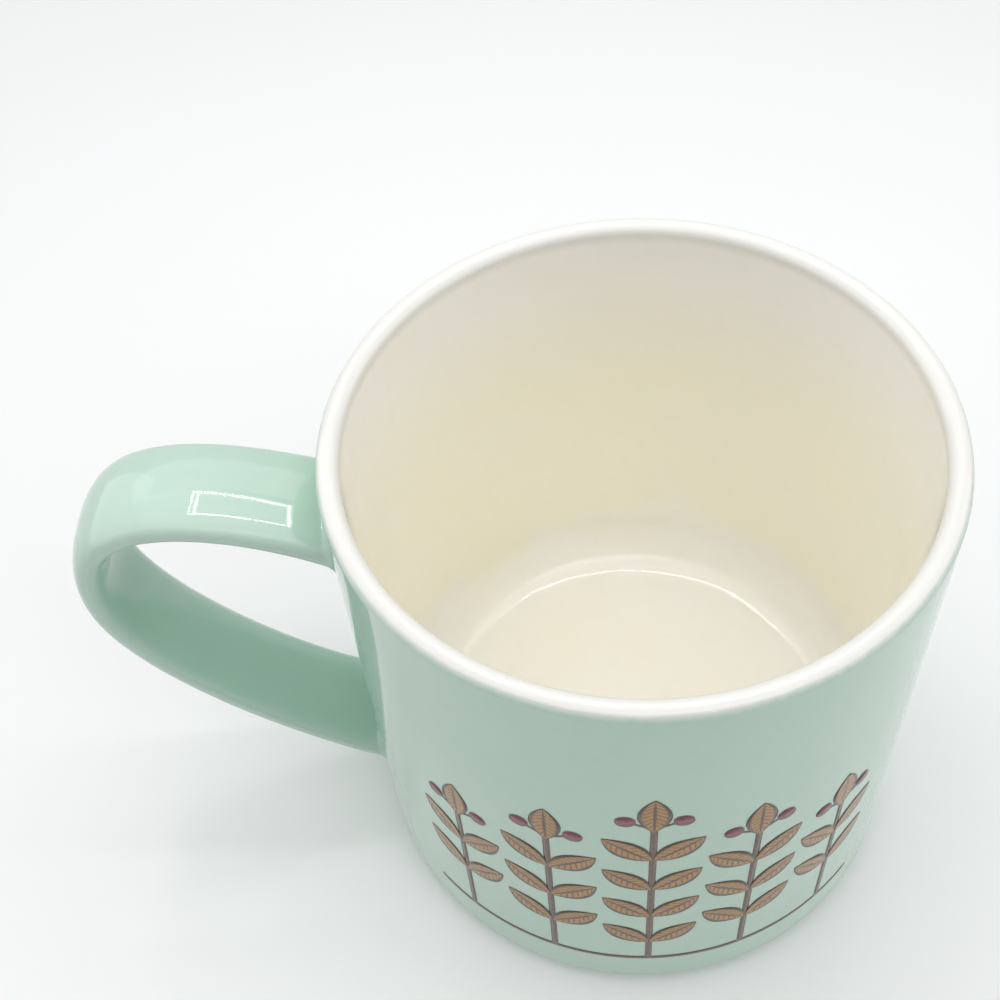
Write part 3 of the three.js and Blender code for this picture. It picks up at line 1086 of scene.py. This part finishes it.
@dataclass
class LeafPrint(Piece):
    """Row of leaf sprigs on a ground line, printed on the front in three enamels."""

    MAP_NAME = "leaf"

    bottom: float = 12.0
    pitch: float = 15.6
    heights: Sequence[float] = (46.0, 53.0, 60.0, 53.0, 46.0)
    ground: float = 1.1
    stem: float = 1.1
    leaf_length: float = 10.0
    leaf_width: float = 4.9
    leaf_spacing: float = 10.6
    leaf_tilt: float = 48.0
    berry_radius: float = 1.5
    berry_reach: float = 4.6
    berry_tilt: float = 62.0
    film: float = 0.03
    layer: float = 0.03
    bar_pitch: float = 1.2
    bar_rows: int = 2
    leaf_columns: int = 6
    leaf_rows: int = 14
    berry_sides: int = 24

    def model(self, mesh: bmesh.types.BMesh) -> None:
        """Draws the sprigs flat, then lays them on the wall."""
        mesh.loops.layers.uv.new(self.MAP_NAME)
        middle = (len(self.heights) - 1) / 2.0
        span = len(self.heights) * self.pitch / 2.0
        ends = [Vector((side, self.ground / 2.0)) for side in (-span, span)]
        self.bar(mesh, *ends, self.ground)
        for place, height in enumerate(self.heights):
            self.sprig(mesh, (place - middle) * self.pitch, height)
        for vert in mesh.verts:
            turn = vert.co.x / CUP.rim_radius
            radius = CUP.rim_radius + vert.co.z
            vert.co = Vector((radius * math.sin(turn), -radius * math.cos(turn), self.bottom + vert.co.y))

    def lift(self, mesh: bmesh.types.BMesh, verts: list[bmesh.types.BMVert], ink: Ink, base: Vector) -> None:
        """Puts a flat shape in its place and gives it its enamel and that enamel's layer."""
        height = self.film + self.layer * ink.value
        bmesh.ops.translate(mesh, verts=verts, vec=(base.x, base.y, height))
        for face in {face for vert in verts for face in vert.link_faces}:
            face.material_index = ink.value

    def bar(self, mesh: bmesh.types.BMesh, start: Vector, end: Vector, width: float) -> None:
        """Draws a straight bar between two points."""
        run = end - start
        pieces = max(1, math.ceil(run.length / self.bar_pitch))
        grid = bmesh.ops.create_grid(mesh, x_segments=pieces, y_segments=self.bar_rows, size=0.5)["verts"]
        bmesh.ops.scale(mesh, verts=grid, vec=(run.length, width, 1.0))
        turn = Matrix.Rotation(math.atan2(run.y, run.x), 3, "Z")
        bmesh.ops.rotate(mesh, verts=grid, cent=(0.0, 0.0, 0.0), matrix=turn)
        self.lift(mesh, grid, Ink.STEM, (start + end) / 2.0)

    def leaf(self, mesh: bmesh.types.BMesh, base: Vector, tilt: float) -> None:
        """Draws a pointed leaf that grows from its base, leaning from upright by its tilt."""
        uv = mesh.loops.layers.uv[self.MAP_NAME]
        shape = {"x_segments": self.leaf_columns, "y_segments": self.leaf_rows, "size": 0.5}
        grid = bmesh.ops.create_grid(mesh, **shape)["verts"]
        for face in {face for vert in grid for face in vert.link_faces}:
            for loop in face.loops:
                loop[uv].uv = (loop.vert.co.x + 0.5, loop.vert.co.y + 0.5)
        for vert in grid:
            share = vert.co.y + 0.5
            vert.co.x *= 4.0 * share * (1.0 - share) * self.leaf_width
            vert.co.y = share * self.leaf_length
        turn = Matrix.Rotation(-math.radians(tilt), 3, "Z")
        bmesh.ops.rotate(mesh, verts=grid, cent=(0.0, 0.0, 0.0), matrix=turn)
        self.lift(mesh, grid, Ink.LEAF, base)
        bmesh.ops.remove_doubles(mesh, verts=grid, dist=MERGE_DISTANCE)

    def berry(self, mesh: bmesh.types.BMesh, base: Vector, tilt: float) -> None:
        """Draws a berry on its stalk."""
        lean = math.radians(tilt)
        end = base + Vector((math.sin(lean), math.cos(lean))) * self.berry_reach
        self.bar(mesh, base, end, self.stem / 2.0)
        shape = {"segments": self.berry_sides, "radius": self.berry_radius}
        disc = bmesh.ops.create_circle(mesh, cap_ends=True, cap_tris=True, **shape)["verts"]
        self.lift(mesh, disc, Ink.BERRY, end)

    def sprig(self, mesh: bmesh.types.BMesh, middle: float, height: float) -> None:
        """Draws one sprig with its stem, leaves and two berries."""
        tip = Vector((middle, height - self.leaf_length))
        self.bar(mesh, Vector((middle, self.ground / 2.0)), tip, self.stem)
        self.leaf(mesh, tip - Vector((0.0, self.stem)), 0.0)
        rise = tip.y - self.leaf_spacing
        while rise > self.ground + self.leaf_spacing / 2.0:
            for tilt in (self.leaf_tilt, -self.leaf_tilt):
                self.leaf(mesh, Vector((middle, rise)), tilt)
            rise -= self.leaf_spacing
        for tilt in (self.berry_tilt, -self.berry_tilt):
            self.berry(mesh, tip.copy(), tilt)


# Studio


@dataclass(frozen=True)
class Room:
    """The white room as the rays that show it see it."""

    colour: Colour = (0.985, 0.995, 1.0)
    level: float = 0.92


ROOM = Room()


@dataclass(frozen=True)
class Table:
    """The pale table that the mug stands on, which fades into the room far from the mug."""

    half_size: float = 3.0
    drop: float = 0.0002
    colour: Colour = (0.918, 0.922, 0.926)
    roughness: float = 0.6
    ior: float = 1.4
    fade_from: float = 0.36
    fade_to: float = 0.75

    def build(self) -> None:
        """Makes the table top."""
        mesh = bmesh.new()
        bmesh.ops.create_grid(mesh, x_segments=1, y_segments=1, size=self.half_size)
        bmesh.ops.translate(mesh, verts=mesh.verts[:], vec=(0.0, 0.0, -self.drop))
        data = bpy.data.meshes.new("table_top")
        mesh.to_mesh(data)
        mesh.free()
        top = bpy.data.objects.new("table_top", data)
        bpy.context.scene.collection.objects.link(top)
        material = bpy.data.materials.new("pale_table")
        material.use_nodes = True
        bench = Bench(material.node_tree)
        near = bench.principled(Base_Color=(*self.colour, 1.0), Roughness=self.roughness, IOR=self.ior)
        far = bench.add("ShaderNodeEmission", inputs={"Color": (*ROOM.colour, 1.0), "Strength": ROOM.level})
        place = bench.add("ShaderNodeTexCoord", output="Object")
        away = bench.add("ShaderNodeVectorMath", {"operation": "LENGTH"}, {0: place}, "Value")
        fade = away.ramp(self.fade_from, self.fade_to) * bench.seen()
        bench.surface(bench.add("ShaderNodeMixShader", inputs={0: fade, 1: near, 2: far}))
        data.materials.append(material)


@dataclass(frozen=True)
class Panel:
    """One evenly bright panel that faces the mug, with sizes in metres."""

    name: str
    place: tuple[float, float, float]
    size: tuple[float, float]
    brightness: float
    aim: tuple[float, float, float] = (0.0, 0.0, 0.05)

    def build(self) -> None:
        """Hangs the panel."""
        lamp = bpy.data.lights.new(self.name, "AREA")
        lamp.shape = "RECTANGLE"
        lamp.size, lamp.size_y = self.size
        lamp.energy = self.brightness * math.pi * self.size[0] * self.size[1]
        holder = bpy.data.objects.new(self.name, lamp)
        look = Vector(self.aim) - Vector(self.place)
        turn = look.to_track_quat("-Z", "Y").to_matrix().to_4x4()
        holder.matrix_world = Matrix.Translation(self.place) @ turn
        bpy.context.scene.collection.objects.link(holder)


@dataclass(frozen=True)
class StudioLight:
    """Soft light of a white booth: pale walls on three sides, a ceiling, and a frame of small lamps."""

    room_light: float = 0.04
    walls: Sequence[Panel] = (
        Panel("left_wall", (-0.90, 0.05, 0.53), (1.60, 1.00), 0.95),
        Panel("right_wall", (0.94, -0.15, 0.47), (1.45, 0.95), 0.98),
        Panel("back_wall", (-0.10, 0.69, 0.82), (1.40, 0.38), 0.92),
        Panel("front_fill", (0.20, -0.65, 0.85), (0.90, 0.46), 0.92),
        Panel("ceiling", (0.04, -0.13, 0.85), (1.22, 1.22), 1.16, (0.04, -0.13, 0.0)),
    )
    frame_centre: tuple[float, float, float] = (0.023, 0.109, 0.40)
    frame_size: tuple[float, float] = (0.200, 0.149)
    left_row_gap: float = 0.014
    lamps_along: int = 22
    lamps_deep: int = 9
    lamp_size: tuple[float, float] = (0.0038, 0.012)
    lamp_brightness: float = 36.0

    def build(self) -> None:
        """Lights the room and hangs the panels and the lamp frame."""
        world = bpy.data.worlds.new("white_room")
        bpy.context.scene.world = world
        world.use_nodes = True
        bench = Bench(world.node_tree)
        strength = bench.seen() * (ROOM.level - self.room_light) + self.room_light
        inputs = {"Color": (*ROOM.colour, 1.0), "Strength": strength}
        glow = bench.add("ShaderNodeBackground", inputs=inputs)
        bench.add("ShaderNodeOutputWorld", inputs={"Surface": glow})
        for wall in self.walls:
            wall.build()
        for place in self.lamp_places():
            below = (place[0], place[1], 0.0)
            Panel("frame_lamp", place, self.lamp_size, self.lamp_brightness, below).build()

    def lamp_places(self) -> list[tuple[float, float, float]]:
        """Returns the places of the small lamps, in rows round the frame, with two rows on its left."""
        x, y, z = self.frame_centre
        length, depth = self.frame_size
        left, right = x - length / 2.0, x + length / 2.0
        front, back = y - depth / 2.0, y + depth / 2.0
        places = []
        for i in range(self.lamps_along):
            along = left + length * i / (self.lamps_along - 1)
            places += [(along, front, z), (along, back, z)]
        for i in range(1, self.lamps_deep - 1):
            deep = front + depth * i / (self.lamps_deep - 1)
            places += [(left, deep, z), (left + self.left_row_gap, deep, z), (right, deep, z)]
        return places


@dataclass(frozen=True)
class PhotoCamera:
    """The photograph's camera, from the fit to the rim, the sides, the base and the handle."""

    place: tuple[float, float, float] = (0.01171, -0.12780, 0.24067)
    pan: float = -5.035
    tilt: float = 51.71
    roll: float = -6.11
    lens: float = 49.68
    sensor: float = 36.0
    near_clip: float = 0.01
    far_clip: float = 20.0

    def build(self) -> None:
        """Makes the camera and gives it to the scene."""
        data = bpy.data.cameras.new("photo_camera")
        data.lens = self.lens
        data.sensor_width = self.sensor
        data.clip_start = self.near_clip
        data.clip_end = self.far_clip
        holder = bpy.data.objects.new("photo_camera", data)
        heading = Matrix.Rotation(math.radians(-self.pan), 4, "Z")
        nod = Matrix.Rotation(math.radians(RIGHT_ANGLE - self.tilt), 4, "X")
        lean = Matrix.Rotation(math.radians(self.roll), 4, "Z")
        holder.matrix_world = Matrix.Translation(self.place) @ heading @ nod @ lean
        bpy.context.scene.collection.objects.link(holder)
        bpy.context.scene.camera = holder


def dress_cad(names: Sequence[str], finish: Finish) -> None:
    """Gives CAD nodes that stay a procedural finish.

    Args:
        names: The nodes.
        finish: Their finish.
    """
    for name in names:
        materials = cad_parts[name].data.materials
        materials.clear()
        materials.append(finish.material())
        log.info("%s: kept from the solids", name)


def main() -> None:
    """Builds the mug piece by piece, then the studio round it."""
    bpy.context.scene.view_settings.view_transform = "Standard"
    PhotoCamera().build()
    enamels = [BROWN_ENAMEL, LEAF_ENAMEL, MAROON_ENAMEL]
    pieces = (
        ClayCup("clay_cup", "bisque", [BISQUE], ["cup_body"]),
        LinerCoat("liner_coat", "liner_glaze", [CREAM], ["liner_glaze"]),
        OuterCoat("outer_coat", "outer_glaze", [MINT], ["outer_glaze"], shell=CUP.glaze),
        BaseCoat("base_coat", "outer_glaze", [MINT], ["base_glaze"]),
        LeafPrint("leaf_print", "print_enamel", enamels, ["print"], shell=LeafPrint.layer),
    )
    for piece in pieces:
        piece.build().dress()
    dress_cad(("handle", "upper_slip_joint", "lower_slip_joint"), BISQUE)
    Table().build()
    StudioLight().build()
    bpy.context.view_layer.update()


if __name__ == "__main__":
    main()
